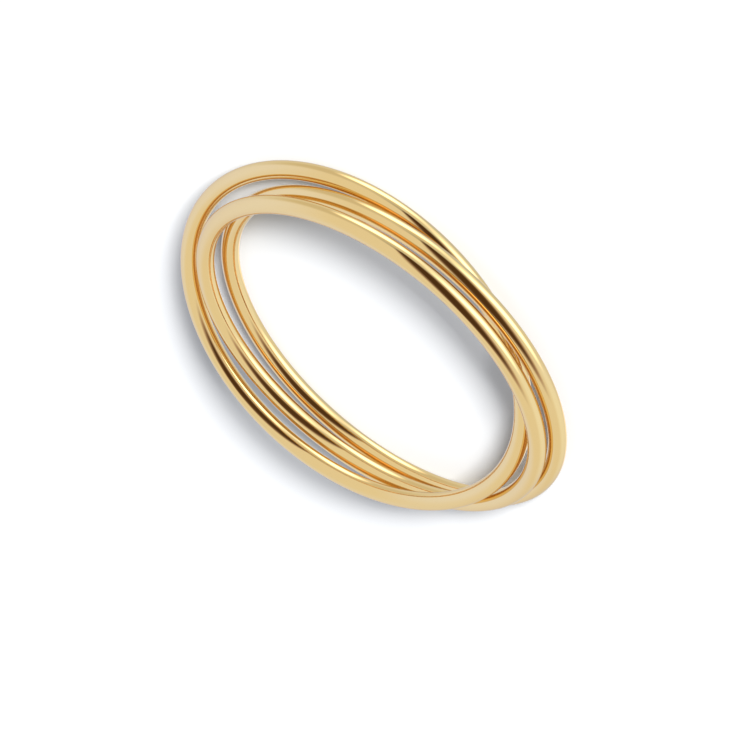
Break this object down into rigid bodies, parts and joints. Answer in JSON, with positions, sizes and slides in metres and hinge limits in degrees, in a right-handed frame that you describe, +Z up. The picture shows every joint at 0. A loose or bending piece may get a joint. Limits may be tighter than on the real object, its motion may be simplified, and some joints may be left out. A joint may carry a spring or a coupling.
{
  "type": "rolling ring",
  "caption": "Finger ring of plain, equal bands of round gold wire that are linked together and turn through one another, lying loose on a table.",
  "frame": {"origin": "centre of the ring's footprint, on the table that it lies on", "axes": "+Z up from the table, through the finger hole; -Y towards the near side, where the linking band dips under the others"},
  "size_m": [0.0206, 0.0196, 0.003],
  "materials": {
    "polished_gold": "pale yellow gold, mirror polished"
  },
  "bodies": {
    "linking_band": {"linking_band": "polished_gold"},
    "upper_band": {"upper_band": "polished_gold"},
    "lower_band": {"lower_band": "polished_gold"}
  },
  "joints": [
    {"name": "upper_band_turn", "type": "hinge", "parent": "linking_band", "child": "upper_band", "pos_m": [-0.00026, -0.00022, 0.00195], "axis": [-0.0362, 0.0539, 0.9979], "continuous": true},
    {"name": "lower_band_turn", "type": "hinge", "parent": "linking_band", "child": "lower_band", "pos_m": [-0.00078, -0.00034, 0.00092], "axis": [-0.014, 0.0524, 0.9985], "continuous": true}
  ]
}
